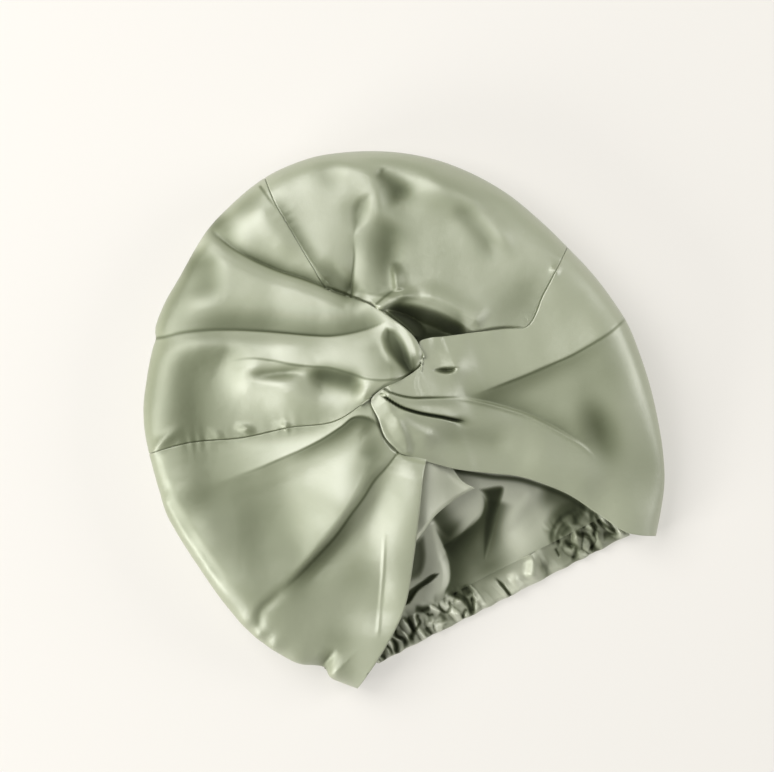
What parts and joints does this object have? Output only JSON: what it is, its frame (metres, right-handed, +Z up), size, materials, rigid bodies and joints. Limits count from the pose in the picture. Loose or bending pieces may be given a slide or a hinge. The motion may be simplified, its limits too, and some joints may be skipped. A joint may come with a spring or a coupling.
{
  "type": "sleep bonnet",
  "caption": "Round satin sleep bonnet with a twisted front, lying on its back, its mouth open towards the nape with a gathered elastic casing.",
  "frame": {"origin": "on the surface that the bonnet lies on, under the middle of its outline", "axes": "+Y from the mouth towards the crown, +X to the right seen from above with the mouth nearest, +Z up out of the twisted front"},
  "size_m": [0.323, 0.3246, 0.0683],
  "materials": {
    "outer_satin": "satin",
    "lining_satin": "satin",
    "casing_satin": "satin"
  },
  "bodies": {
    "root": {"left_crown": "outer_satin", "right_crown": "outer_satin", "left_side": "outer_satin", "right_side": "outer_satin", "back_panel": "outer_satin", "lining": "lining_satin", "twist_facing": "lining_satin", "nape_casing": "casing_satin"}
  },
  "joints": []
}
